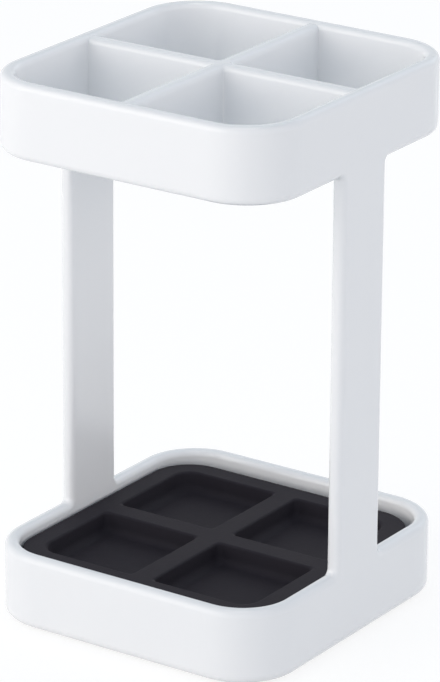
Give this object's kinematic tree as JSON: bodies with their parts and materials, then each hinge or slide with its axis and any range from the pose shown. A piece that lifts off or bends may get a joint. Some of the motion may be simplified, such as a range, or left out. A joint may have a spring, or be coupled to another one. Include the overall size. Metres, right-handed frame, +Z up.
{
  "type": "toothbrush holder",
  "caption": "Free-standing white toothbrush stand: a divided upper holder on two flush posts over a low tray with a lift-out black drip mat moulded into shallow cups.",
  "frame": {"origin": "centre of the footprint, on the surface that the stand rests on", "axes": "+Z up; +X towards one post; the open windows face -Y (front) and +Y (back)"},
  "size_m": [0.08, 0.0834, 0.135],
  "materials": {
    "white_gloss_plastic": "moulded gloss ABS",
    "white_satin_plastic": "moulded satin ABS",
    "clear_foot_rubber": "milky soft elastomer",
    "black_silicone": "matte moulded silicone"
  },
  "bodies": {
    "stand": {"stand_body": "white_gloss_plastic", "base_plate": "white_satin_plastic", "foot_front_left": "clear_foot_rubber", "foot_front_right": "clear_foot_rubber", "foot_rear_left": "clear_foot_rubber", "foot_rear_right": "clear_foot_rubber"},
    "mat": {"drip_mat": "black_silicone"}
  },
  "joints": [
    {"name": "mat_lift", "type": "slide", "parent": "stand", "child": "mat", "axis": [0, 0, 1], "range_m": [0, 0.098]}
  ]
}
